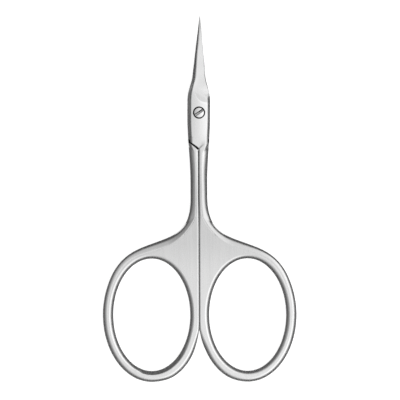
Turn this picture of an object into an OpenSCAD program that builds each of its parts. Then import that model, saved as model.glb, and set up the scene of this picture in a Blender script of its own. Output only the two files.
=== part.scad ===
// Cuticle scissors, closed and lying flat with the slotted screw head up.
// Sizes are in millimetres. X runs across, Y from the pivot towards the tips, Z up.
// The pivot is the Z axis, and the lower plate's back face is at Z 0.
// Each half is a forged bar: a blade, a half-thickness plate at the pivot, a
// shank on one side of the centre seam and an oval finger bow.
// The lower half is the upper half turned over, apart from its screw hole, the
// upward curve of its blade and its plate's lean to one side.

/* [Blades] */

// length from the pivot to the tips
blade_l = 23.65; // [21:0.05:27]
// width across the closed blades at the tips
tip_w = 0.2; // [0.15:0.05:0.8]
// width across the closed blades where they start to flare
blade_w = 3.15; // [2.9:0.05:4]
// distance from the pivot to the start of the flare
flare_y = 9; // [8:0.1:12]
// thickness of one blade at its tip
tip_t = 0.25; // [0.2:0.05:0.9]
// thickness left at the cutting edge
edge_t = 0.12; // [0.08:0.01:0.3]
// how far the cutting edge stands back behind the other blade's spine, where the blades flare
edge_back = 0.18; // [0.05:0.01:0.3]
// width of the bevel along the spine
spine_w = 0.85; // [0.4:0.05:1]
// depth of the bevel along the spine
spine_h = 0.55; // [0.2:0.05:0.6]
// distance from the pivot to the start of the ground face, on the cutting side
ground_y = 2; // [1.5:0.1:3]
// distance from the pivot to the place where the cutting edge is at its thinnest
edge_y = 11; // [9:0.1:14]
// height that the tips rise above the joint
blade_rise = 3; // [0:0.1:4.5]
// distance from the pivot to the start of the upward curve
curve_from = 4; // [3.8:0.1:6]

/* [Joint] */

// width of the joint plates
joint_w = 5.6; // [5.2:0.1:6.6]
// thickness of both plates together
joint_t = 3; // [2.6:0.1:3.4]
// gap between the two plates
ride_gap = 0.04; // [0.02:0.01:0.08]
// distance from the pivot to the plate's forward corner on the cutting side
corner_y = 4.3; // [4.2:0.1:5]
// distance from the pivot to the step, at the flank
step_outer_y = 6.7; // [6.2:0.1:7.4]
// distance from the pivot to the step, at the seam
step_inner_y = 8.9; // [8.4:0.05:9.6]
// gap between a plate's end and the other half's step
step_gap = 0.28; // [0.1:0.01:0.3]
// width of the bevel along the plate's spine side
plate_edge_w = 1; // [0.5:0.05:1.2]
// depth of the bevel along the plate's spine side
plate_edge_h = 0.65; // [0.3:0.05:0.7]
// width of the bevel along the plate's cutting side
plate_rim_w = 0.75; // [0.4:0.05:1]
// depth of the bevel along the plate's cutting side
plate_rim_h = 0.3; // [0.2:0.05:0.6]
// how far the plates and shanks stand to the left of the centre line between the bows
lean = 0.15; // [0:0.01:0.2]

/* [Screw] */

// radius of the screw head
head_r = 1.23; // [1.2:0.01:1.32]
// radius of the recess round the screw head
recess_r = 1.5; // [1.42:0.01:1.6]
// depth of the recess round the screw head
recess_h = 0.75; // [0.6:0.05:0.9]
// depth of the screw head's top below the plate
head_drop = 0.05; // [0:0.01:0.1]
// radius of the screw's shank
shank_r = 0.9; // [0.8:0.01:1]
// radial clearance of the shank in the upper half
run_gap = 0.04; // [0.02:0.01:0.08]
// depth of the screw's end below the lower half's back face
end_drop = 0.15; // [0.1:0.05:0.3]
// width of the screwdriver slot
slot_w = 0.7; // [0.5:0.05:0.8]
// depth of the screwdriver slot
slot_h = 0.4; // [0.3:0.02:0.46]
// direction of the screwdriver slot, from the X axis
slot_turn = 34.8; // [0:0.1:180]
// chamfer on the screw head's rim
head_chamfer = 0.12; // [0.08:0.01:0.16]

/* [Shanks] */

// gap between the two shanks when closed
seam_gap = 0.12; // [0.06:0.01:0.2]
// width of one shank at the waist, from the centre line
waist_w = 2.05; // [1.9:0.01:2.4]
// distance from the pivot to the start of the waist
waist_y = 17; // [16:0.1:19]
// distance from the pivot to the start of the shoulder
shoulder_y = 20.75; // [19.5:0.05:22]
// width of the rounding on the shank's outer side
shank_edge_w = 1.3; // [0.7:0.05:1.4]
// depth of the rounding on the shank's outer side
shank_edge_h = 0.65; // [0.4:0.05:1]
// width of the rounding along the seam
seam_edge_w = 0.5; // [0.2:0.05:0.6]
// depth of the rounding along the seam
seam_edge_h = 0.15; // [0.05:0.05:0.4]

/* [Shoulders] */

// distance from the centre line to the point where the shoulder changes its bend
turn_x = 11.8; // [10.5:0.1:13]
// distance from the pivot to that point, along the length
turn_y = 32.3; // [31:0.1:33]
// slope of the shoulder at that point, in degrees below level
turn_slope = 19.9; // [14:0.1:26]
// reach of the shoulder's hollow curve along the shank
hollow_pull = 8.5; // [7:0.1:9.5]
// reach of the shoulder's hollow curve along the slope
slope_pull = 6.2; // [4:0.1:7]
// angle on the bow's outer oval where the shoulder's round part ends
round_end = 20; // [10:1:40]
// reach of the shoulder's round part along the slope
round_pull = 4.7; // [3:0.1:6]
// reach of the shoulder's round part along the oval
oval_pull = 8.9; // [7:0.1:10]

/* [Finger bows] */

// length from the pivot to the far end of the bows
handle_l = 66.35; // [64:0.05:69]
// distance from the centre line to a bow's centre
bow_x = 11.82; // [11.6:0.01:12]
// half the width of a bow's outer oval
bow_a = 12.05; // [11.9:0.01:12.3]
// half the length of a bow's outer oval
bow_b = 16.55; // [16:0.05:17]
// half the width of the finger hole
hole_a = 9.48; // [8.9:0.01:9.6]
// half the length of the finger hole
hole_b = 13.85; // [13.2:0.05:14.1]
// thickness of the bows
bow_t = 2.4; // [2:0.1:2.8]
// width of the rounding on the bow's edges
bow_edge_w = 0.8; // [0.5:0.05:1]
// depth of the rounding on the bow's edges
bow_edge_h = 0.45; // [0.3:0.05:0.7]
// width of the rounding on the finger hole's edges
hole_edge_w = 1.1; // [0.6:0.05:1.2]
// depth of the rounding on the finger hole's edges
hole_edge_h = 0.6; // [0.3:0.05:0.8]

/* [Hidden] */

steel = [0.78, 0.78, 0.79];
ride_z = joint_t / 2;
seam_x = seam_gap / 2;
half_w = joint_w / 2;
bow_y = bow_b - handle_l;
steps = 4;
oval_step = 4;
deep = 0.4;
bow_end = -88;

function smooth(t) = t <= 0 ? 0 : t >= 1 ? 1 : t * t * (3 - 2 * t);
function mix(a, b, t) = a + (b - a) * t;
function on_oval(a, b, angle) = [bow_x + a * cos(angle), bow_y + b * sin(angle)];

// A point on a curve that leaves p towards q and arrives at s from r.
function curve(p, q, r, s, t) =
    pow(1 - t, 3) * p + 3 * pow(1 - t, 2) * t * q + 3 * (1 - t) * t * t * r + pow(t, 3) * s;

// Height of the blades' upward curve at a distance r from the pivot.
function rise(r) =
    r < curve_from ? 0 : blade_rise * pow((r - curve_from) / (blade_l - curve_from), 2);

// Half the width across the closed blades and plates, ahead of the pivot.
function tip_fade(y) = min(1, 0.6 + (blade_l - y) * 1.5);
function straight_w(y) =
    mix(tip_w / 2, blade_w / 2, (blade_l - y) / (blade_l - flare_y)) * tip_fade(y);
function front_w(y) = mix(straight_w(y), half_w, smooth((flare_y - y) / (flare_y - 2.8)));

// Half the width across the plates and shanks, behind the pivot.
function flank_w(y) = mix(half_w, waist_w, smooth((-1 - y) / (waist_y - 1)));
function outer_w(y) = y > -1 ? front_w(y) : flank_w(y);

// The cutting and outer side of the half, from the tip to the end of the bow.
function cut_x(y) = outer_w(y) - (y > corner_y ? edge_back * (blade_l - y) / (blade_l - flare_y) : 0);
stations = concat(
    [blade_l, blade_l - 0.15, blade_l - 0.4],
    [for (i = [0:10]) mix(blade_l - 1.2, flare_y, i / 10)],
    [for (i = [1:8]) mix(flare_y, corner_y + 0.1, i / 8)],
    [for (i = [0:6]) mix(corner_y - 0.1, -5, i / 6)],
    [for (i = [0:5]) mix(-step_outer_y, -step_inner_y, i / 5)],
    [for (i = [1:8]) mix(-step_inner_y, -waist_y, i / 8)]
);
slope = [cos(turn_slope), -sin(turn_slope)];
waist_p = [waist_w, -shoulder_y];
turn_p = [turn_x, -turn_y];
oval_p = on_oval(bow_a, bow_b, round_end);
oval_dir = [bow_a * sin(round_end), -bow_b * cos(round_end)];
along = oval_dir / norm(oval_dir);
right = concat(
    [for (y = stations) [cut_x(y), y]],
    [waist_p],
    [for (i = [1:14])
        curve(waist_p, waist_p - [0, hollow_pull], turn_p - slope * slope_pull, turn_p, i / 14)],
    [for (i = [1:8]) curve(turn_p, turn_p + slope * round_pull, oval_p - along * oval_pull, oval_p, i / 8)],
    [for (angle = [round_end - oval_step:-oval_step:bow_end]) on_oval(bow_a, bow_b, angle)]
);

// The spine and seam side of the half, at the same distances along the length.
function oval_x(y) = bow_x - bow_a * sqrt(max(0, 1 - pow((y - bow_y) / bow_b, 2)));
function seam_side(y) = y > bow_y ? seam_x : max(seam_x, oval_x(y));
function plate_end(y) =
    mix(-flank_w(-step_outer_y), seam_x, (-step_outer_y - y) / (step_inner_y - step_outer_y));
function left_x(y) =
    y >= -step_outer_y ? -outer_w(y) :
    y >= -step_inner_y ? plate_end(y) : seam_side(y);
left = [for (p = right) [left_x(p[1]), p[1]]];

rows = len(right);
around = 2 * rows;
outline = concat(left, [for (i = [rows - 1:-1:0]) right[i]]);

// Edge widths and depths along each side, by distance along the length.
left_w = [
    [-32, bow_edge_w],
    [-20, seam_edge_w],
    [-step_inner_y - 0.6, seam_edge_w],
    [-step_inner_y, 0.25],
    [-step_outer_y, 0.25],
    [-5, plate_edge_w],
    [corner_y, plate_edge_w],
    [flare_y, spine_w],
    [blade_l, spine_w / 2]
];
left_h = [
    [-32, bow_edge_h],
    [-20, seam_edge_h],
    [-step_inner_y - 0.6, seam_edge_h],
    [-step_inner_y, 0.2],
    [-step_outer_y, 0.2],
    [-5, plate_edge_h],
    [corner_y, plate_edge_h],
    [flare_y, spine_h],
    [blade_l, spine_h / 2]
];
right_w = [
    [-32, bow_edge_w],
    [-20, shank_edge_w],
    [-step_inner_y, shank_edge_w],
    [-5, plate_rim_w]
];
right_h = [
    [-32, bow_edge_h],
    [-20, shank_edge_h],
    [-step_inner_y, shank_edge_h],
    [-5, plate_rim_h]
];

// Shape of the edge: 1 is rolled over, 0 is a flat bevel.
left_roll = [[-step_inner_y - 0.6, 1], [-step_inner_y, 0]];
right_roll = [[-step_inner_y, 1], [-5, 0]];

// Top of the half, and its bottom before the plate is thinned to half.
back_z = [
    [-34, ride_z + bow_t / 2],
    [-24, joint_t]
];
function spine_t(s) = mix(tip_t, ride_z, 0.58 * s + 0.42 * pow(s, 4));
function top_z(y) =
    y > curve_from ? ride_z + spine_t((blade_l - y) / (blade_l - curve_from)) : lookup(y, back_z);
low_z = [
    [-34, ride_z - bow_t / 2],
    [-24, 0],
    [-6, 0],
    [-5, ride_z - deep]
];

// The ground face spreads from the cutting side towards the spine, and falls to the
// thin cutting edge; 1 is fully spread or fully thin.
function spread(y) = smooth((y - ground_y) / 3.4);
function thin(y) = smooth((y - ground_y) / (edge_y - ground_y));
function wide(y) = cut_x(y) - left_x(y);
function side_w(k, y) =
    k < rows ? min(lookup(y, left_w), y > 0 ? 0.3 * wide(y) : 9) :
    mix(lookup(y, right_w), 0.66 * wide(y), spread(y));
function side_h(k, y) =
    k < rows ? min(lookup(y, left_h), 0.6 * (top_z(y) - ride_z)) :
    mix(lookup(y, right_h), top_z(y) - ride_z - edge_t, max(thin(y), spread(y) * 0.2));
function roll(k, y) = lookup(y, k < rows ? left_roll : right_roll);

// How far the outline stands to one side of the bows' centre line.
function drift(y) = -lean * (y > 4 ? 1 - smooth((y - 4) / 8) : smooth((y + 30) / 10));

// Inward direction in plan: straight across ahead of the pivot, else square to the outline.
function inward(k) =
    outline[k][1] > -1 ? [k < rows ? 1 : -1, 0] :
    let (d = outline[(k + 1) % around] - outline[(k + around - 1) % around])
    [-d[1], d[0]] / norm(d);

// One closed loop of the bar: layer 0 is the bottom face's rim, the last the top face's.
function loop(layer, bend) = [for (k = [0:around - 1])
    let (
        y = outline[k][1],
        up = layer > steps,
        t = (up ? layer - steps - 1 : steps - layer) / steps,
        inset = t * side_w(k, y),
        drop = (1 - t) * mix(1, 1 - t, roll(k, y)) * side_h(k, y),
        p = outline[k] + inset * inward(k),
        base = up ? top_z(y) - drop : lookup(y, low_z) + (y < -5.5 ? drop : 0),
        x = p[0] + bend * drift(p[1])
    )
    [x, p[1], base + (p[1] > 0 ? bend * rise(norm(p)) : 0)]];

// The whole bar as a closed skin of triangles.
module bar(bend) {
    layers = 2 * steps + 2;
    points = [for (layer = [0:layers - 1]) each loop(layer, bend)];
    last = (layers - 1) * around;
    sides = [for (layer = [0:layers - 2], k = [0:around - 1])
        let (a = layer * around + k, b = layer * around + (k + 1) % around)
        each [[a, a + around, b + around], [a, b + around, b]]];
    caps = [for (i = [0:rows - 2])
        let (l = i, r = around - 1 - i)
        each [
            [last + l, last + r, last + r - 1], [last + l, last + r - 1, last + l + 1],
            [l, r - 1, r], [l, l + 1, r - 1]
        ]];
    polyhedron(points, concat(sides, caps), convexity = 8);
}

// The finger hole with its edges rounded on both faces.
module finger_hole() {
    turns = [for (angle = [0:5:355]) angle];
    up = [for (t = [0:0.25:0.75]) [hole_edge_w * t, bow_t / 2 - hole_edge_h * (1 - t) * (1 - t)]];
    over = [up[3][0] + 0.5, up[3][1] + 0.3];
    half = concat(up, [over]);
    profile = concat([for (i = [4:-1:0]) [half[i][0], -half[i][1]]], half);
    count = len(turns);
    points = [for (q = profile, angle = turns)
        let (
            n = [hole_b * cos(angle), hole_a * sin(angle)],
            p = on_oval(hole_a, hole_b, angle) + q[0] * n / norm(n)
        )
        [p[0], p[1], ride_z + q[1]]];
    top = (len(profile) - 1) * count;
    sides = [for (i = [0:len(profile) - 2], k = [0:count - 1])
        let (a = i * count + k, b = i * count + (k + 1) % count)
        each [[a, a + count, b + count], [a, b + count, b]]];
    ends = [[for (k = [0:count - 1]) k], [for (k = [count - 1:-1:0]) top + k]];
    polyhedron(points, concat(sides, ends), convexity = 4);
}

// What is taken away below the ride face: behind the pivot up to the step, and
// ahead of it a turned shape that follows the blades' curve.
module below_ride(bend) {
    fall = (step_inner_y - step_outer_y) / (half_w - 0.2);
    back = step_gap * sqrt(1 + fall * fall);
    face = ride_z + ride_gap / 2;
    translate([bend * drift(-step_inner_y), 0, -1])
        linear_extrude(face + 1)
            polygon([
                [-4, 0.5],
                [-4, -step_inner_y - back],
                [seam_x, -step_inner_y - back],
                [4, -step_inner_y - back + (4 - seam_x) * fall],
                [4, 0.5]
            ]);
    reach = blade_l + 1.5;
    rotate_extrude(angle = 180, $fn = 72)
        polygon(concat(
            [[0, -9], [0, face], [curve_from, face]],
            [for (i = [1:8]) let (r = mix(curve_from, reach, i / 8)) [r, face + bend * rise(r)]],
            [[reach, -9]]
        ));
}

module half(bend) {
    difference() {
        bar(bend);
        finger_hole();
        below_ride(bend);
    }
}

module upper_half() {
    color(steel)
        difference() {
            half(1);
            cylinder(r = shank_r + run_gap, h = joint_t + 1, $fn = 48);
            translate([0, 0, joint_t - recess_h])
                cylinder(r = recess_r, h = recess_h + 1, $fn = 64);
        }
}

module lower_half() {
    color(steel)
        difference() {
            translate([0, 0, joint_t])
                rotate([0, 180, 0])
                    half(-1);
            translate([0, 0, -1])
                cylinder(r = shank_r, h = joint_t, $fn = 48);
        }
}

module pivot_screw() {
    head_top = joint_t - head_drop;
    head_base = joint_t - recess_h + 0.02;
    color(steel)
        difference() {
            union() {
                translate([0, 0, end_drop])
                    cylinder(r = shank_r, h = head_base - end_drop, $fn = 48);
                translate([0, 0, head_base])
                    cylinder(r = head_r, h = head_top - head_base - head_chamfer, $fn = 64);
                translate([0, 0, head_top - head_chamfer])
                    cylinder(r1 = head_r, r2 = head_r - head_chamfer, h = head_chamfer, $fn = 64);
            }
            rotate([0, 0, slot_turn])
                translate([-2, -slot_w / 2, head_top - slot_h])
                    cube([4, slot_w, 1]);
        }
}

upper_half();
lower_half();
pivot_screw();
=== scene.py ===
"""Cuticle scissors in brushed steel: the two forged halves and the pivot screw, seen from straight above.

Lengths in the shape functions are millimetres in the frame of the part; piece() turns them into metres.
X runs across, Y from the pivot to the tips, Z up towards the screw head.
"""

import math

import bpy
import numpy as np
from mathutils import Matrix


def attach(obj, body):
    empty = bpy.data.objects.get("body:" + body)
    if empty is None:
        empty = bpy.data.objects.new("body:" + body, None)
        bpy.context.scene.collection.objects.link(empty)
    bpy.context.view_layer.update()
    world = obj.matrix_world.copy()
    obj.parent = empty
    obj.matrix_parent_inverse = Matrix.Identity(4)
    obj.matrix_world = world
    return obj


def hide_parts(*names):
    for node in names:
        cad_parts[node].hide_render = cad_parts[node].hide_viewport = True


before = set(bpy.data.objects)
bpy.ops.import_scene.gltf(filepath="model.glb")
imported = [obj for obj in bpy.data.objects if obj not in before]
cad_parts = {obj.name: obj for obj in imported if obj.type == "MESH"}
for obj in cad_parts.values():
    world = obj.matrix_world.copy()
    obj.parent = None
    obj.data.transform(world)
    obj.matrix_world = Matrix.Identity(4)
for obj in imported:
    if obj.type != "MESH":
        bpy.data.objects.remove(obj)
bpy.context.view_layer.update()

# Sizes of the forged halves and the screw: the part source's own, or within 0.1 mm of them to follow
# the photograph. The sizes of seam, crease, crest, crown, fold and dome are this file's alone.
BLADE_L = 23.65
TIP_W = 0.2
BLADE_W = 3.2
FLARE_Y = 9.0
TIP_T = 0.2
EDGE_T = 0.18
EDGE_BACK = 0.18
BLADE_RISE = 3.0
CURVE_FROM = 4.0
HALF_W = 2.8
JOINT_T = 3.0
RIDE_Z = 1.5
RIDE_GAP = 0.04
CORNER_Y = 4.3
STEP_OUTER_Y = 6.7
STEP_INNER_Y = 8.9
STEP_GAP = 0.38
SEAM_X = 0.1
SEAM_WIDE = 0.05
SEAM_RIDGE = 0.09
SEAM_OFF = 0.07
SEAM_LEFT = 0.11
WAIST_W = 2.06
WAIST_Y = 17.0
SHOULDER_Y = 20.75
TURN = np.array([11.8, -32.3])
TURN_SLOPE = math.radians(19.9)
HOLLOW_PULL = 8.5
SLOPE_PULL = 6.2
ROUND_END = 20.0
ROUND_PULL = 4.7
OVAL_PULL = 8.9
BOW_X = 11.82
BOW_Y = -49.8
BOW_A = 12.05
BOW_B = 16.535
HOLE_A = 9.48
HOLE_B = 13.85
BOW_T = 2.4
# How far each half's bow stands out from a true oval on its lower inner quarter, by the half's bend.
FULLER = {1: 0.22, -1: 0.4}
RECESS_R = 1.5
RECESS_H = 0.75
BORE_R = 0.94
SCREW_R = 0.9
SCREW_END = 0.15
SCREW_CHAMFER = 0.08
HEAD_BASE = JOINT_T - RECESS_H + 0.04
# A face whose direction rises less than this is taken for a wall.
WALL_TILT = 0.3
# Neighbouring faces that meet at more than this angle keep a sharp edge.
SHARP_ANGLE = math.radians(28)
RIDE_FACE = RIDE_Z + RIDE_GAP / 2
EDGE_FROM = 12.5
GROUND_L = 5.4
GROUND_R = 2.0
GROUND_SOFT = 0.08
CREASE = 0.35
CREST = 0.12
CROWN = 0.022
CROWN_X = -1.0
STEP_LEAN = math.atan2(STEP_INNER_Y - STEP_OUTER_Y, 2.6)
FOLD_H = 0.1
FOLD_W = 0.4
HEAD_R = 1.23
HEAD_TOP = 2.98
DOME = 0.1
SLOT_W = 0.7
SLOT_H = 0.45
SLOT_FALL = 0.18
# Width of the deep strip of the slot's floor beside its wall, which is painted near black as shade.
SLOT_SHADE_STRIP = 0.18
SLOT_TURN = math.radians(34.8)
# The curved line where the ground face runs out: its Y is RUN_OUT_Y plus RUN_OUT_FALL times
# RUN_OUT_BASE to the power of the distance outward from -RUN_OUT_X. Painted shade and highlight follow it.
RUN_OUT_Y = 2.3
RUN_OUT_X = 1.32
RUN_OUT_BASE = 0.35
RUN_OUT_FALL = 3.26
# How strong the painted shade just ahead of that line, the painted highlight on it and the painted shade
# over the ground face are.
BAND_PAINTED_SHADE = 0.2
BAND_PAINTED_HIGHLIGHT = 0.08
BLADE_PAINTED_SHADE = 0.2
# The floor and the camera, in metres, apart from the sensor's width in millimetres.
FLOOR_HALF = 2
FLOOR_Z = -0.00002
SENSOR_MM = 36
SEEN_FROM = 0.6973
SEEN_WIDE = 0.0985


def smooth(t):
    """Ease from 0 to 1: three t squared less two t cubed, held at both ends."""
    t = np.clip(t, 0, 1)
    return t * t * (3 - 2 * t)


def mix(a, b, t):
    """A straight blend from a to b."""
    return a + (b - a) * t


def bezier(p, q, r, s, t):
    """A cubic curve that leaves p towards q and arrives at s from r."""
    t = np.asarray(t)[:, None]
    return (1 - t) ** 3 * p + 3 * (1 - t) ** 2 * t * q + 3 * (1 - t) * t * t * r + t**3 * s


def rise(r):
    """Height of the blades' upward curve: the square of the distance past its start."""
    return BLADE_RISE * (np.maximum(0, r - CURVE_FROM) / (BLADE_L - CURVE_FROM)) ** 2


def tip_fade(y):
    """How the outline draws in to the rounded tip."""
    return np.minimum(1, 0.4 + (BLADE_L - y) * 1.5)


def front_w(y):
    """Half the width ahead of the pivot: a straight taper that eases into the joint plate."""
    taper = mix(TIP_W / 2, BLADE_W / 2, (BLADE_L - y) / (BLADE_L - FLARE_Y)) * tip_fade(y)
    return mix(taper, HALF_W, smooth((FLARE_Y - y) / (FLARE_Y - 2.8)))


def flank_w(y):
    """Half the width behind the pivot: an ease from the plate to the waist."""
    return mix(HALF_W, WAIST_W, smooth((-1 - y) / (WAIST_Y - 1)))


def outer_w(y):
    """Half the width of plates and blades at a distance y along the length."""
    return np.where(y > -1, front_w(y), flank_w(y))


# How the surfaces are divided: places across an edge, and how many lines a flat or an arm takes.
RING = np.array([0, 0.05, 0.12, 0.2, 0.3, 0.42, 0.55, 0.68, 0.8, 0.9])
CREST_STEPS = np.array([0, 0.15, 0.35, 0.6, 1.0])
HALF_RUN = 9
SHOULDER_ROWS = 80
ARM_ROWS = 150
SPLIT_L = 31.5
SPLIT_R = 32.55


def oval(a, b, degrees):
    """Points of an oval round the bow's centre at the given angles."""
    turn = np.radians(np.asarray(degrees, float))
    return np.stack([BOW_X + a * np.cos(turn), BOW_Y + b * np.sin(turn)], -1)


def shoulder():
    """The outer side from the waist to the far end of the bow: a hollow curve, a round one, an oval."""
    t = np.linspace(0, 1, 300)
    slope = np.array([math.cos(TURN_SLOPE), -math.sin(TURN_SLOPE)])
    waist = np.array([WAIST_W, -SHOULDER_Y])
    end = oval(BOW_A, BOW_B, ROUND_END)
    turn = math.radians(ROUND_END)
    along = np.array([BOW_A * math.sin(turn), -BOW_B * math.cos(turn)])
    along = along / np.linalg.norm(along)
    hollow = bezier(waist, waist - [0, HOLLOW_PULL], TURN - slope * SLOPE_PULL, TURN, t)
    crown = bezier(TURN, TURN + slope * ROUND_PULL, end - along * OVAL_PULL, end, t)
    bow = oval(BOW_A, BOW_B, mix(ROUND_END, -90.0, t))
    return np.concatenate([hollow, crown[1:], bow[1:]])


def inner_side(fuller):
    """The side by the seam: straight down the seam, then the bow's oval to its far end, which stands
    out from a true oval by the given amount halfway round."""
    leave = math.degrees(math.acos((SEAM_X - BOW_X) / BOW_A))
    turn = mix(-leave, -90.0, np.linspace(0, 1, 300))
    bow = oval(BOW_A, BOW_B, turn)
    out = np.stack([BOW_B * np.cos(np.radians(turn)), BOW_A * np.sin(np.radians(turn))], -1)
    out = out / np.linalg.norm(out, axis=1, keepdims=True)
    way = (turn + leave) / (leave - 90)
    bow = bow + out * (fuller * np.sin(math.pi * way) * smooth((1 - way) * 3))[:, None]
    bow[:, 0] = np.maximum(bow[:, 0], SEAM_X)
    seam = np.linspace(-SPLIT_L, bow[0, 1], 200)
    return np.concatenate([np.stack([np.full(200, SEAM_X), seam], -1), bow[1:]])


def run_of(path):
    """Distance along a path at each of its points."""
    return np.append(0, np.cumsum(np.linalg.norm(np.diff(path, axis=0), axis=1)))


def square_to(path, sign):
    """Unit directions square to a path, smoothed a little where it turns."""
    step = np.gradient(path, axis=0)
    n = np.stack([-step[:, 1], step[:, 0]], -1) * sign
    n = n / np.linalg.norm(n, axis=1, keepdims=True)
    padded = np.pad(n, ((4, 4), (0, 0)), mode="edge")
    n = np.stack([np.convolve(padded[:, i], np.ones(9) / 9, "valid") for i in (0, 1)], -1)
    return n / np.linalg.norm(n, axis=1, keepdims=True)


def along(path, run, at):
    """Points of a path at the given distances along it."""
    return np.stack([np.interp(at, run, path[:, i]) for i in (0, 1)], -1)


def step_curve(u):
    """How the plate's slanting end crosses from its side to the seam: a line eased at both ends."""
    return mix(u, smooth(u), 0.4)


def cut_side(y):
    """X of the cutting and outer side at each y, down to the shoulder."""
    back = EDGE_BACK * (BLADE_L - y) / (BLADE_L - FLARE_Y)
    return outer_w(y) - back * smooth((y - CORNER_Y) / 0.12 + 1)


def spine_side(y):
    """X of the spine and seam side at each y: spine, plate side, slanting plate end, seam."""
    u = np.clip((-STEP_OUTER_Y - y) / (STEP_INNER_Y - STEP_OUTER_Y), 0, 1)
    end = mix(-flank_w(-STEP_OUTER_Y), SEAM_X, step_curve(u))
    return np.where(y > -STEP_OUTER_Y, -outer_w(y), end)


def edge_drop(t, w, slope, lip, steep, dip, crest=CREST):
    """Depth below the crest at a distance t in from the outline: a bevel of the given slope and width
    w with an eased inner crease, a lip that steepens evenly to the outline, and a slight dip inside."""
    lip = np.maximum(lip, 1e-6)
    blend = np.minimum(CREASE, w)
    u = np.clip((t - (w - blend)) / blend, 0, 1)
    bevel = np.maximum(0, w - blend - t) + blend * (0.5 - u + u**3 - u**4 / 2)
    rolled = steep * lip / 2 * np.maximum(0, 1 - t / lip) ** 2
    return slope * bevel + rolled + dip * smooth((t - w) / crest)


def table(keys, values):
    """A smooth lookup by distance along the length."""
    keys = np.array(keys, float)
    values = np.array(values, float)

    def read(y):
        i = np.clip(np.searchsorted(keys, y) - 1, 0, len(keys) - 2)
        t = smooth((y - keys[i]) / (keys[i + 1] - keys[i]))
        return mix(values[i], values[i + 1], t)

    return read


# Edge finish along the length, from the bows (low y) to the tips: the bevel's width and slope, the
# lip's width and steepness, and the dip inside the crest.
BOW_EDGE = (1.15, 0.07, 1.0, 0.86, 0.0, CREST)
HOLE_EDGE = (1.05, 0.04, 1.1, 0.92, 0.0, CREST)
HOLE_BEVEL = (1.15, 0.62, 0.5, 0.3, 0.0, CREST)
PLATE_BEVEL = (1.02, 0.72, 0.1, 0.15, 0.0)
SPINE_KEYS = [-36, -30, -22, -10.5, -9.5, -9.0, -6.9, -6.2, 4.0, 7.5, 16, BLADE_L]
spine_edge = (
    table(SPINE_KEYS, [0.35, 0.35, 0.42, 0.42, 0.4, 0.14, 0.14, 1.02, 1.05, 0.86, 0.58, 0.3]),
    table(SPINE_KEYS, [0.05, 0.05, 0.05, 0.03, 0.1, 0.4, 0.4, 0.72, 0.76, 0.8, 0.8, 0.8]),
    table(SPINE_KEYS, [0.3, 0.3, 0.5, 0.5, 0.4, 0.1, 0.1, 0.1, 0.1, 0.1, 0.08, 0.06]),
    table(SPINE_KEYS, [0.45, 0.4, 0.32, 0.28, 0.3, 0.3, 0.3, 0.15, 0.1, 0.1, 0.1, 0.1]),
    table(SPINE_KEYS, [0] * 12),
    table(SPINE_KEYS, [CREST, CREST, 0.04, 0.04] + [CREST] * 8),
)
CUT_KEYS = [-52, -44, -36, -30, -22, -14, -9.5, -7, -4, 3.0, 8.5, BLADE_L]
cut_edge = (
    table(CUT_KEYS, [BOW_EDGE[0], 1.15, 1.15, 1.9, 1.95, 1.95, 1.7, 0.9, 0.82, 0.82, 0.12, 0.08]),
    table(CUT_KEYS, [BOW_EDGE[1], 0.08, 0.12, 0.24, 0.23, 0.25, 0.23, 0.4, 0.45, 0.45, 0.1, 0.1]),
    table(CUT_KEYS, [BOW_EDGE[2], 0.85, 0.65, 0.8, 1.3, 1.55, 1.3, 0.3, 0.3, 0.3, 0.05, 0.04]),
    table(CUT_KEYS, [BOW_EDGE[3], 0.86, 0.7, 0.66, 0.6, 0.56, 0.58, 0.3, 0.3, 0.3, 0.2, 0.2]),
    table(CUT_KEYS, [BOW_EDGE[4], 0.005, 0.012, 0.02, 0.015, 0, 0, 0, 0, 0, 0, 0]),
    table(CUT_KEYS, [CREST, CREST, CREST, CREST, 0.06, 0.03, 0.05] + [CREST] * 5),
)
top_z = table([-36, -22, 60], [RIDE_Z + BOW_T / 2, JOINT_T, JOINT_T])
# How far the plates and shanks stand to one side of the bows' centre line, and the tips to the other.
seam_off = table([-30, -20, -STEP_INNER_Y, -STEP_OUTER_Y], [0, SEAM_OFF, SEAM_OFF, 0])
seam_wide = table([-30, -22, -STEP_INNER_Y, -STEP_OUTER_Y], [0, SEAM_WIDE, SEAM_WIDE, 0])
drift = table([-30, -20, -3, 4, 9, 13, BLADE_L], [0, -0.11, -0.11, -0.08, -0.02, 0.06, 0.24])


def across(outer, n_out, edge, inner, n_in, inner_edge, middle, counts):
    """Plan points and edge depths of cross lines from one side to the other: rings in from the first
    side, straight runs through a middle point, and rings out to the second side."""
    first_edge = [np.broadcast_to(e, len(outer))[:, None] for e in edge]
    last_edge = [np.broadcast_to(e, len(outer))[:, None] for e in inner_edge]
    t0 = np.concatenate([RING * first_edge[0], first_edge[0] + first_edge[5] * CREST_STEPS], 1)
    t1 = np.concatenate([RING * last_edge[0], last_edge[0] + last_edge[5] * CREST_STEPS], 1)
    first = outer[:, None] + n_out[:, None] * t0[..., None]
    last = inner[:, None] + n_in[:, None] * t1[..., None]
    a = np.linspace(0, 1, counts[0] + 1)[1:-1][None, :, None]
    b = np.linspace(0, 1, counts[1] + 1)[:-1][None, :, None]
    run_a = mix(first[:, -1:], middle[:, None], a)
    run_b = mix(middle[:, None], last[:, -1:], b)
    plan = np.concatenate([first, run_a, run_b, last[:, ::-1]], 1)
    d0 = edge_drop(t0, *first_edge)
    d1 = edge_drop(t1, *last_edge)
    dip_a = first_edge[4] * (1 - a[..., 0])
    dip_b = last_edge[4] * b[..., 0]
    return plan, np.concatenate([d0, dip_a, dip_b, d1[:, ::-1]], 1)


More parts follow.
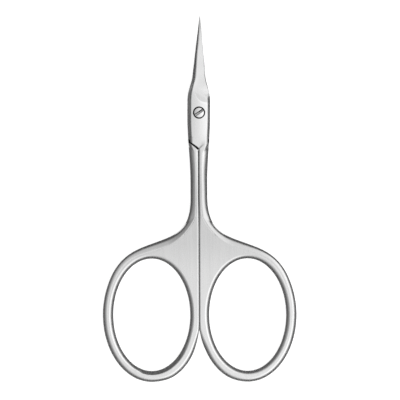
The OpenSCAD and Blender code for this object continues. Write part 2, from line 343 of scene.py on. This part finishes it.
def rows():
    """Pairs of distances along the spine side and the cutting side, row by row from tip to shoulder.
    Rows lean where the ground face starts and where the plate ends, so a crease runs along a row."""
    anchors = [
        (BLADE_L, BLADE_L, 40), (16, 16, 36), (FLARE_Y, FLARE_Y, 30), (GROUND_L, GROUND_R, 34),
        (0, -1.0, 34), (-STEP_OUTER_Y, -5.3, 24), (-STEP_INNER_Y, -STEP_OUTER_Y, 3),
        (-STEP_INNER_Y - STEP_GAP, -STEP_OUTER_Y - STEP_GAP, 22), (-10.6, -8.8, 20), (-14, -14, 30),
        (-SHOULDER_Y, -SHOULDER_Y, 0),
    ]
    left, right = [], []
    for (l0, r0, n), (l1, r1, _) in zip(anchors, anchors[1:]):
        t = np.arange(n) / n
        left.append(mix(l0, l1, t))
        right.append(mix(r0, r1, t))
    return np.concatenate(left), np.concatenate(right), sum(a[2] for a in anchors[:7])


def loops(plan, top, keel):
    """Closed loops of a bar that is the same above and below, with a keel point on either side."""
    upper = np.concatenate([plan, top[..., None]], -1)
    under = np.concatenate([plan, (2 * RIDE_Z - top)[..., None]], -1)
    flat = np.full((len(plan), 1, 1), RIDE_FACE)
    first = np.concatenate([keel[:, None], flat], -1)
    last = np.concatenate([plan[:, -1:], flat], -1)
    return np.concatenate([first, upper, last, under[:, ::-1]], 1)


def bar(bend):
    """The blade, plate, shank and web as rows of closed loops; bend is 1 or -1 for the blade's curve."""
    left_y, right_y, step = rows()
    left = np.stack([spine_side(left_y) + seam_wide(left_y) - bend * seam_off(left_y), left_y], -1)
    right = np.stack([cut_side(right_y), right_y], -1)
    t = np.linspace(0, 1, SHOULDER_ROWS)
    web_y = mix(-SHOULDER_Y, -SPLIT_L, t)
    web_left = np.stack([SEAM_X + seam_wide(web_y) - bend * seam_off(web_y), web_y], -1)
    web_at = t * SPLIT_RUN
    web_right = along(SHOULDER, SHOULDER_RUN, web_at)
    n_left, n_right = square_to(left, 1), square_to(right, -1)
    left = np.concatenate([left, web_left])
    right = np.concatenate([right, web_right])
    n_left = np.concatenate([n_left, np.tile([1.0, 0], (SHOULDER_ROWS, 1))])
    n_right = np.concatenate([n_right, along(SHOULDER_N, SHOULDER_RUN, web_at)])
    left_y, right_y = left[:, 1], right[:, 1]
    # Where rows lean, the edge finish is measured square to the side but laid out along the row.
    row = right - left
    width = np.linalg.norm(row, axis=1, keepdims=True)
    row = row / width
    wide = smooth((width - 3.5) / 5) * (left_y < -SHOULDER_Y)[:, None]
    n_left = mix(row / np.maximum((row * n_left).sum(1, keepdims=True), 0.6), n_left, wide)
    n_right = mix(-row / np.maximum((-row * n_right).sum(1, keepdims=True), 0.6), n_right, wide)
    edge_l = [e(left_y) for e in spine_edge]
    edge_r = [e(right_y) for e in cut_edge]
    # Where the bar is narrow, both edge finishes draw in together so that they don't meet.
    lean_l, lean_r = np.linalg.norm(n_left, axis=1), np.linalg.norm(n_right, axis=1)
    needed = (edge_l[0] + CREST) * lean_l + (edge_r[0] + CREST) * lean_r
    fit = np.minimum(1, width[:, 0] * 0.96 / needed)
    edge_l = [e * fit if i in (0, 2, 5) else e for i, e in enumerate(edge_l)]
    edge_r = [e * fit if i in (0, 2, 5) else e for i, e in enumerate(edge_r)]
    inner_l = left + n_left * (edge_l[0] + edge_l[5])[:, None]
    inner_r = right + n_right * (edge_r[0] + edge_r[5])[:, None]
    middle = mix(inner_l, inner_r, 0.5)
    spread = np.clip((right[:, 0] - WAIST_W) / (right[-1, 0] - WAIST_W), 0, 1) ** 3
    spread = np.where(left_y < -SHOULDER_Y, spread, 0)
    middle = middle + (HOLE_TOP - middle[-1]) * spread[:, None]
    plan, drop = across(left, n_left, edge_l, right, n_right, edge_r, middle, (HALF_RUN, HALF_RUN))
    # The plate's slanting end is a slightly curved line, and the rows beside it follow that curve.
    u = np.linspace(0, 1, 100)
    line_x = mix(SEAM_X, flank_w(-STEP_OUTER_Y), u)
    line_y = mix(-STEP_INNER_Y, -STEP_OUTER_Y, u)
    curve_x = mix(flank_w(-STEP_OUTER_Y), SEAM_X, step_curve(u))
    curve_y = mix(-STEP_OUTER_Y, -STEP_INNER_Y, u)
    off = np.interp(line_x, curve_x[::-1], curve_y[::-1]) - line_y
    y = plan[..., 1]
    place = np.interp(plan[..., 0], line_x, line_y)
    near = 1 - smooth((np.abs(y - place + STEP_GAP / 2) - STEP_GAP) / 1.2)
    y = y + near * np.interp(plan[..., 0], line_x, off)
    plan = np.stack([plan[..., 0], y], -1)
    # The plate's side bevel runs on until the slanting end cuts it off.
    x = plan[..., 0]
    side = np.where((y < -6) & (y > -STEP_INNER_Y), x + flank_w(y), 9)
    drop = np.maximum(drop, edge_drop(side, *PLATE_BEVEL))
    # The plate's face is crowned, and it dips a little where it meets the shank by the seam.
    crown = CROWN * (x - CROWN_X) ** 2 * (1 - smooth((-y - 5) / 5))
    square = (y - np.interp(x, line_x, line_y + off)) * math.cos(STEP_LEAN)
    fold = FOLD_H * smooth(0.5 + square / FOLD_W) * (1 - smooth((x - 0.3) / 1.5))
    fold = fold * (1 - smooth((y + STEP_INNER_Y - 0.6) / 1.8))
    top = top_z(y) - crown - drop - fold
    # The ground face is ruled across from the spine bevel's inner edge to the thin cutting edge, and
    # runs out of the plate's face where the two surfaces meet.
    s = (BLADE_L - y) / (BLADE_L - GROUND_L)
    spine_t = mix(TIP_T, JOINT_T - RIDE_Z, 0.32 * s + 0.68 * s**4)
    edge_t = mix(JOINT_T - RIDE_Z, EDGE_T, smooth((y - GROUND_R) / (EDGE_FROM - GROUND_R)))
    bevel_x = np.interp(y, left_y[::-1], inner_l[::-1, 0])
    t = (x - bevel_x) / np.maximum(cut_side(y) - bevel_x, 1e-6)
    ground = RIDE_Z + mix(spine_t, edge_t, np.clip(t, 0, 1)) - crown * np.clip(s, 0, 1) ** 4
    ground = ground - np.where(t < 0.02, drop, 0)
    gap = np.clip(0.5 + (top - ground) / GROUND_SOFT, 0, 1)
    cut = mix(top, ground, gap) - GROUND_SOFT / 2 * gap * (1 - gap)
    top = np.where((y > GROUND_R - 1), cut, top)
    lift = np.where(y > 0, bend * rise(np.hypot(x, y)), 0)
    top = np.maximum(top, RIDE_FACE + 0.02) + lift
    upper = np.concatenate([plan, top[..., None]], -1)
    ridge = (SEAM_RIDGE + seam_wide(y[:, 0])) * smooth(1 - STEP_INNER_Y - y[:, 0])
    keel = plan[:, 0] - n_left * ridge[:, None]
    # The inner face of the blade has a small chamfer along the spine.
    from_spine = np.linalg.norm(plan - plan[:, :1], axis=2)
    size = np.minimum(0.15, 0.45 * (top - lift)[:, :1] - 0.45 * RIDE_FACE) * smooth(y[:, :1] - 4)
    chamfer = np.maximum(0, size - from_spine)
    ride = np.concatenate([plan, (RIDE_FACE + lift + chamfer)[..., None]], -1)
    ride[:, 0, :2] = keel
    for sheet in (upper, ride, plan, keel):
        sheet[..., 0] += bend * drift(sheet[..., 1])
    thin = np.concatenate([upper[: step + 1], ride[: step + 1, ::-1]], 1)
    return thin, loops(plan[step:], top[step:], keel[step:])


def arm(side, bend):
    """One arm of the finger bow, from the web over the hole to the far end: rows of closed loops
    whose plan lines run from the outer outline to the hole. side is -1 by the seam, 1 outside. On the
    lower half, bend -1, the hole's edge turns into a flat bevel on its far quarter by the seam."""
    path, run, n = SHOULDER, SHOULDER_RUN, SHOULDER_N
    if side < 0:
        path = INNER[bend]
        run, n = run_of(path), square_to(path, 1)
    start = 0 if side < 0 else SPLIT_RUN
    at = mix(start, run[-1], np.linspace(0, 1, ARM_ROWS))
    outer = along(path, run, at)
    n_out = along(n, run, at)
    n_out = n_out / np.linalg.norm(n_out, axis=1, keepdims=True)
    n_out[-1] = [0, 1]
    polar = np.arctan2((outer[:, 1] - BOW_Y) / BOW_B, (outer[:, 0] - BOW_X) / BOW_A)
    polar = np.degrees(np.where((side < 0) & (polar < 0), polar + 2 * math.pi, polar))
    polar[-1] = 270.0 if side < 0 else -90.0
    turn = 90 + (polar - polar[0]) * (polar[-1] - 90) / (polar[-1] - polar[0])
    if side < 0:
        way = np.linspace(0, 1, ARM_ROWS)
        turn = 90 + 180 * np.interp(way, [0, 0.1, 0.2, 0.4, 1], [0, 0.155, 0.28, 0.5, 1])
    hole = oval(HOLE_A, HOLE_B, turn)
    hole[-1] = [BOW_X, BOW_Y - HOLE_B]
    n_hole = np.stack([HOLE_B * np.cos(np.radians(turn)), HOLE_A * np.sin(np.radians(turn))], -1)
    n_hole = n_hole / np.linalg.norm(n_hole, axis=1, keepdims=True)
    n_hole[-1] = [0, -1]
    if side < 0:
        low = smooth((-51 - outer[:, 1]) / 8)
        edge = [mix(e(outer[:, 1]), f, low) for e, f in zip(spine_edge, BOW_EDGE)]
        keel = outer - n_out * (SEAM_RIDGE * (1 - smooth((outer[:, :1] - SEAM_X) / 0.3)))
    else:
        edge = [e(outer[:, 1]) for e in cut_edge]
        keel = outer
    flat = smooth((turn - 190) / 40) if side < 0 else smooth((-62 - turn) / 20)
    hole_edge = [mix(e, f, flat * (bend < 0)) for e, f in zip(HOLE_EDGE, HOLE_BEVEL)]
    middle = hole + n_hole * (hole_edge[0] + CREST)[:, None]
    plan, drop = across(outer, n_out, edge, hole, n_hole, hole_edge, middle, (HALF_RUN, 1))
    return loops(plan, top_z(plan[..., 1]) - drop, keel)


def lean_seam(sheet, bend):
    """Move the seam between the bows a little to the left of the middle, easing out over the arms."""
    x, y, z = np.moveaxis(sheet, -1, 0)
    near = (1 - smooth((x - 0.3) / 1.5)) * smooth((-y - 22) / 8)
    return np.stack([x - bend * SEAM_LEFT * near, y, z], -1)


def skin(rings, closed):
    """Corner numbers of the quads between neighbouring rows of points."""
    n, m = rings.shape[:2]
    index = np.arange(n * m).reshape(n, m)
    ahead = np.roll(index, -1, 1) if closed else index[:, 1:]
    here = index if closed else index[:, :-1]
    return np.stack([here[:-1], here[1:], ahead[1:], ahead[:-1]], -1).reshape(-1, 4)


def welded(sheets):
    """Points and faces of sheets joined where they meet; a quad with a repeated corner loses it."""
    counts = np.cumsum([0] + [len(s.reshape(-1, 3)) for s, _ in sheets])
    points = np.concatenate([s.reshape(-1, 3) for s, _ in sheets])
    faces = np.concatenate([q + start for (_, q), start in zip(sheets, counts)])
    _, first, same = np.unique(np.round(points + 3e-5, 4), axis=0, return_index=True, return_inverse=True)
    faces = same.reshape(-1)[faces]
    repeat = faces == np.roll(faces, 1, 1)
    three = faces[repeat.sum(1) == 1]
    three = three[~repeat[repeat.sum(1) == 1]].reshape(-1, 3)
    return points[first], faces[repeat.sum(1) == 0].tolist() + three.tolist()


def piece(name, points, faces, body, slot):
    """A mesh object of points in millimetres that rides on a body."""
    me = bpy.data.meshes.new(name)
    me.from_pydata((points / 1000).tolist(), [], faces)
    me.validate()
    obj = bpy.data.objects.new(name, me)
    bpy.context.scene.collection.objects.link(obj)
    if body:
        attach(obj, body)
    return obj


def half(bend, turned):
    """Points and faces of one half. The lower half is the same shape turned over about the Y axis."""
    thin, full = bar(bend)
    n = thin.shape[1] // 2
    tip = np.stack([thin[0, :n], thin[0, n:][::-1]], 0)
    step = np.stack([thin[-1, n:], full[0, n + 2:]], 0)
    arms = arm(-1, bend), arm(1, bend)
    sheets = [
        (thin, skin(thin, True)), (full, skin(full, True)), (arms[0], skin(arms[0], True)),
        (arms[1], skin(arms[1], True)[:, ::-1]), (tip, skin(tip, False)[:, ::-1]), (step, skin(step, False)),
    ]
    sheets = [(lean_seam(s, bend), q) for s, q in sheets]
    if turned:
        sheets = [(np.stack([-s[..., 0], s[..., 1], JOINT_T - s[..., 2]], -1), q) for s, q in sheets]
    return welded(sheets)


SHOULDER = shoulder()
SHOULDER_RUN = run_of(SHOULDER)
SHOULDER_N = square_to(SHOULDER, -1)
INNER = {bend: inner_side(fuller) for bend, fuller in FULLER.items()}
SPLIT_RUN = np.interp(SPLIT_R, -SHOULDER[:, 1], SHOULDER_RUN)
HOLE_TOP = np.array([BOW_X, BOW_Y + HOLE_B + HOLE_EDGE[0] + CREST])


def turned_plug(profile, n=96):
    """Points and faces of a solid of revolution about the pivot: each profile point swept in a circle."""
    r, z = np.array(profile).T
    turn = np.radians(np.arange(n) * 360 / n)[:, None]
    rings = np.stack([r * np.cos(turn), r * np.sin(turn), np.broadcast_to(z, (n, len(z)))], -1)
    rings = np.concatenate([rings, rings[:1]])
    return welded([(rings, skin(rings, False))])


def cut_piece(name, shape, cutter, body, slot):
    """A solid piece with another shape cut out of it."""
    obj = piece(name, *shape, body, slot)
    plug = piece("plug", *cutter, None, None)
    cut = obj.modifiers.new("cut", "BOOLEAN")
    cut.object = plug
    cut.solver = "EXACT"
    drilled = bpy.data.meshes.new_from_object(obj.evaluated_get(bpy.context.evaluated_depsgraph_get()))
    obj.modifiers.clear()
    obj.data = drilled
    bpy.data.objects.remove(plug)
    drilled.shade_smooth()
    drilled.set_sharp_from_angle(angle=SHARP_ANGLE)
    return obj


def paint_shade_faces(obj, inside):
    """Give each face the number of its material, which a test works out from its middle and direction:
    0 for the steel, 1 and 2 for painted shade.
    """
    me = obj.data
    n = len(me.polygons)
    middle, facing = np.empty(3 * n), np.empty(3 * n)
    me.polygons.foreach_get("center", middle)
    me.polygons.foreach_get("normal", facing)
    chosen = inside(middle.reshape(-1, 3) * 1000, facing.reshape(-1, 3))
    me.polygons.foreach_set("material_index", chosen.astype(np.int32))


def in_a_gap(side):
    """Walls and floors inside the seam, the slanting gap and the screw's recess, which are painted dark
    as shade: the seam's walls dark grey, the rest near black. side is 1 for the upper half and -1 for
    the lower half, which is the same shape turned over."""
    def test(middle, facing):
        x, y, z = middle.T
        x = (x - drift(y)) * side
        wall = np.abs(facing[:, 2]) < WALL_TILT
        seam = wall & (x < SEAM_X + SEAM_WIDE + SEAM_LEFT + 0.01)
        seam = seam & (y < -STEP_INNER_Y + 0.1) & (y > BOW_Y - 3)
        ends = np.interp(np.abs(x), [0, 2.58], [-STEP_INNER_Y, -STEP_OUTER_Y])
        slant = (np.abs(y - ends + STEP_GAP / 2) < 0.5) & (z > 0.3) & (z < 2.7) & (np.abs(x) < 2.9)
        deep = wall | (z < JOINT_T - RECESS_H + 0.05)
        round_hole = (np.hypot(x, y) < RECESS_R + 0.01) & deep & (z > RIDE_Z + 0.1)
        return np.where(seam & ~slant, 2, slant | round_hole)
    return test


def in_the_slot(middle, facing):
    """The faces painted near black as shade: the walls of the screwdriver slot, the strip of its floor
    that lies in their shade, and the screw's side below the head's rim."""
    x, y, z = middle.T
    v = y * math.cos(SLOT_TURN) - x * math.sin(SLOT_TURN)
    upright = np.abs(facing[:, 2]) < WALL_TILT
    wall = upright & (np.hypot(x, y) < HEAD_R - 0.1) & (z > JOINT_T - RECESS_H)
    strip = (v > SLOT_W / 2 - SLOT_SHADE_STRIP) & (v < SLOT_W / 2 + 0.01) & (z < HEAD_TOP - 0.25) & (z > RIDE_Z)
    return wall | strip | (upright & (z < HEAD_TOP - DOME - 0.06))


def screw_profile():
    """The screw from its lower end to the middle of its domed head, as distance and height."""
    dome = np.linspace(HEAD_R - 0.06, 0, 8)
    top = [(r, HEAD_TOP - DOME * (r / HEAD_R) ** 2) for r in dome]
    lower = [
        (0, SCREW_END), (SCREW_R - SCREW_CHAMFER, SCREW_END), (SCREW_R, SCREW_END + SCREW_CHAMFER),
        (SCREW_R, HEAD_BASE), (HEAD_R, HEAD_BASE), (HEAD_R, HEAD_TOP - DOME - 0.05),
    ]
    return lower + top


def slot_cutter():
    """A bar across the head whose floor falls a little towards the side away from the light."""
    half = SLOT_W / 2
    across_slot = [
        (-half, -SLOT_H), (SLOT_SHADE_STRIP - half, -SLOT_H), (half, -SLOT_H + SLOT_FALL),
        (half, 0.1), (-half, 0.1),
    ]
    end = np.array([[u, v, HEAD_TOP + z] for u in (-2, 2) for v, z in across_slot])
    c, d = math.cos(SLOT_TURN), math.sin(SLOT_TURN)
    v = -end[:, 1]
    points = np.stack([end[:, 0] * c - v * d, end[:, 0] * d + v * c, end[:, 2]], -1)
    faces = [(0, 1, 2, 3, 4), (9, 8, 7, 6, 5)] + [(i, i + 5, (i + 1) % 5 + 5, (i + 1) % 5) for i in range(5)]
    return points, faces


recess = [
    (0, 1), (BORE_R, 1), (BORE_R, JOINT_T - RECESS_H), (RECESS_R, JOINT_T - RECESS_H),
    (RECESS_R, JOINT_T - 0.06), (RECESS_R + 0.15, JOINT_T + 0.3), (0, JOINT_T + 0.3),
]
socket = [(0, -1), (SCREW_R + 0.02, -1), (SCREW_R + 0.02, 2), (0, 2)]
upper = cut_piece("upper_half_steel", half(1, False), turned_plug(recess), "upper", "half_steel")
lower = cut_piece("lower_half_steel", half(-1, True), turned_plug(socket), "lower", "half_steel")
screw = cut_piece("pivot_screw_steel", turned_plug(screw_profile()), slot_cutter(), "lower", "screw_steel")
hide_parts("upper_half")
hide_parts("lower_half")
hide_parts("pivot_screw")


class Value:
    """A socket in a node tree: arithmetic on it adds Math nodes, and add() makes any other node."""

    def __init__(self, tree, socket=None):
        self.tree = tree
        self.socket = socket

    def add(self, kind, settings=None, links=None, out=0):
        """A node of that type with its settings made first, then its sockets given values or links."""
        node = self.tree.nodes.new(kind)
        for name, value in (settings or {}).items():
            setattr(node, name, value)
        for key, value in (links or {}).items():
            if isinstance(value, Value):
                self.tree.links.new(value.socket, node.inputs[key])
            else:
                node.inputs[key].default_value = value
        return Value(self.tree, node.outputs[out])

    def sums(self, operation, a, b):
        """One Math node that works on a and b."""
        return self.add("ShaderNodeMath", {"operation": operation}, {0: a, 1: b})

    def __add__(self, other):
        return self.sums("ADD", self, other)

    def __sub__(self, other):
        return self.sums("SUBTRACT", self, other)

    def __rsub__(self, other):
        return self.sums("SUBTRACT", other, self)

    def __mul__(self, other):
        return self.sums("MULTIPLY", self, other)

    __radd__ = __add__
    __rmul__ = __mul__

    def ease(self, low, high):
        """0 below low, 1 above high, and a smooth step between them."""
        sockets = {0: self, 1: low, 2: high, 3: 0.0, 4: 1.0}
        return self.add("ShaderNodeMapRange", {"interpolation_type": "SMOOTHSTEP"}, sockets)


def tree_of(owner):
    """An empty node tree on a material or world, and a starting value in it."""
    owner.use_nodes = True
    owner.node_tree.nodes.clear()
    return Value(owner.node_tree)


def finish_tree(start, kind, shader):
    """Link the last shader to the tree's output."""
    start.tree.links.new(shader.socket, start.tree.nodes.new(kind).inputs[0])


def brushed(name, shade, rough, lines, side=0):
    """Steel with fine lines along the length: stretched noise moves its tone, roughness and relief. Painted
    shade darkens the web and painted light brightens the bows. Where the ground face runs out, painted shade
    lies in a band just ahead of the curved line, a painted highlight just behind it, and painted shade over
    the ground face beyond; side is 1 where the cutting side is at +X, -1 at -X and 0 for none of these."""
    material = bpy.data.materials.new(name)
    start = tree_of(material)
    place = start.add("ShaderNodeTexCoord", out="Object")
    fine = start.add("ShaderNodeMapping", {}, {0: place, 3: (9000.0, 260.0, 3000.0)})
    fine = start.add("ShaderNodeTexNoise", {}, {0: fine, 2: 1.0, 3: 3.0})
    broad = start.add("ShaderNodeMapping", {}, {0: place, 3: (2200.0, 60.0, 900.0)})
    broad = start.add("ShaderNodeTexNoise", {}, {0: broad, 2: 1.0, 3: 2.0})
    streak = (fine - 0.5) * 0.6 + (broad - 0.5)
    along = start.add("ShaderNodeSeparateXYZ", {}, {0: place}, out="Y")
    # Painted shade darkens the web, most from 30 to 20 mm behind the pivot; painted light brightens the
    # bows, from 30 mm behind it on.
    web_painted_shade = along.ease(-0.04, -0.03) - along.ease(-0.02, -0.01)
    tone = streak * lines + 1 - web_painted_shade * 0.13 + (0 - along).ease(0.03, 0.06) * 0.08
    if side:
        outward = start.add("ShaderNodeSeparateXYZ", {}, {0: place}, out="X") * (1000.0 * side)
        fall = start.sums("POWER", RUN_OUT_BASE, outward + RUN_OUT_X) * RUN_OUT_FALL
        ahead = along * 1000.0 - RUN_OUT_Y - fall
        # Painted shade in a band just ahead of the run-out line, a painted highlight just behind it, and
        # painted shade on the ground face further ahead.
        painted_shade_band = ahead.ease(-0.1, 0.2) - ahead.ease(0.6, 3.2)
        painted_highlight_band = ahead.ease(-0.7, 0.0) - ahead.ease(0.0, 0.3)
        tone = tone - painted_shade_band * outward.ease(-1.4, 1.2) * BAND_PAINTED_SHADE
        tone = tone - ahead.ease(1.0, 6.0) * BLADE_PAINTED_SHADE + painted_highlight_band * BAND_PAINTED_HIGHLIGHT
    colour = start.add("ShaderNodeCombineColor", {}, {i: tone * part for i, part in enumerate(shade)})
    relief = start.add("ShaderNodeBump", {}, {"Strength": 0.12, "Distance": 0.00002, "Height": fine})
    shader = start.add(
        "ShaderNodeBsdfPrincipled", {},
        {"Base Color": colour, "Metallic": 1.0, "Roughness": streak * 0.12 + rough, "Normal": relief},
    )
    finish_tree(start, "ShaderNodeOutputMaterial", shader)
    return material


steel = brushed("upper_brushed_steel", (0.62, 0.62, 0.62), 0.27, 0.16, 1)
turned_over = brushed("lower_brushed_steel", (0.62, 0.62, 0.62), 0.27, 0.16, -1)
turned = brushed("turned_steel", (0.66, 0.66, 0.66), 0.2, 0.05)
# Near-black steel for the faces in the slanting gap, the recess and the slot: painted shade.
painted_shade = brushed("painted_shade_black", (0.03, 0.03, 0.03), 0.6, 0.2)
# Dark grey steel for the seam's walls: painted shade.
seam_painted_shade = brushed("seam_painted_shade_grey", (0.16, 0.16, 0.16), 0.5, 0.2)
finishes = [(upper, steel, in_a_gap(1)), (lower, turned_over, in_a_gap(-1)), (screw, turned, in_the_slot)]
for obj, finish, test in finishes:
    obj.data.materials.clear()
    obj.data.materials.append(finish)
    obj.data.materials.append(painted_shade)
    obj.data.materials.append(seam_painted_shade)
    paint_shade_faces(obj, test)

# The room: bright overhead and to the lower right, dimmer to the upper left, dark low down all round.
world = bpy.data.worlds.new("studio")
bpy.context.scene.world = world
start = tree_of(world)
way = start.add("ShaderNodeTexCoord", out="Generated")
x, y, z = (start.add("ShaderNodeSeparateXYZ", {}, {0: way}, out=k) for k in "XYZ")
lit = x * 0.9 - y * 0.12
strip = lit.ease(0.0, 0.32) - lit.ease(0.42, 0.7) * 0.6
room = lit.ease(-0.45, 0.05) * 0.67 + strip * 0.63 + 0.35
room = room * (z - y.ease(0.1, 1.0) * 0.25).ease(0.48, 0.84) + 0.125
glow = start.add("ShaderNodeBackground", {}, {0: room, 1: 1.0})
plain = start.add("ShaderNodeBackground", {}, {0: (1, 1, 1, 1), 1: 1.0})
seen = start.add("ShaderNodeLightPath", out="Is Camera Ray")
sky = start.add("ShaderNodeMixShader", {}, {0: seen, 1: glow, 2: plain})
finish_tree(start, "ShaderNodeOutputWorld", sky)

# The floor is white paper: lit by the room, with the rest of its whiteness given by its own colour.
paper = bpy.data.materials.new("paper")
start = tree_of(paper)
kinds = ("Is Camera Ray", "Is Glossy Ray", "Is Transmission Ray")
rays = [start.add("ShaderNodeLightPath", out=k) for k in kinds]
seen = start.sums("MINIMUM", rays[0] + rays[1] + rays[2], 1.0)
sheet = start.add("ShaderNodeBsdfDiffuse", {}, {0: (0.9, 0.9, 0.9, 1)})
white = start.add("ShaderNodeEmission", {}, {0: (1, 1, 1, 1), 1: 0.65})
whiter = start.add("ShaderNodeAddShader", {}, {0: sheet, 1: white})
lit_sheet = start.add("ShaderNodeMixShader", {}, {0: seen, 1: sheet, 2: whiter})
clear = start.add("ShaderNodeBsdfTransparent")
behind = start.add("ShaderNodeNewGeometry", out="Backfacing")
one_sided = start.add("ShaderNodeMixShader", {}, {0: behind, 1: lit_sheet, 2: clear})
finish_tree(start, "ShaderNodeOutputMaterial", one_sided)
floor_mesh = bpy.data.meshes.new("floor")
corners = [(a * FLOOR_HALF, b * FLOOR_HALF, FLOOR_Z) for a, b in ((-1, -1), (1, -1), (1, 1), (-1, 1))]
floor_mesh.from_pydata(corners, [], [(0, 1, 2, 3)])
floor = bpy.data.objects.new("floor", floor_mesh)
bpy.context.scene.collection.objects.link(floor)
floor_mesh.materials.append(paper)

camera = bpy.data.objects.new("camera", bpy.data.cameras.new("camera"))
bpy.context.scene.collection.objects.link(camera)
camera.location = (0.00016, -0.02152, 0.7)
camera.rotation_euler = (0, 0, -0.003)
camera.data.lens = SENSOR_MM * SEEN_FROM / SEEN_WIDE
camera.data.clip_end = 10
bpy.context.scene.camera = camera
bpy.context.scene.view_settings.view_transform = "Standard"
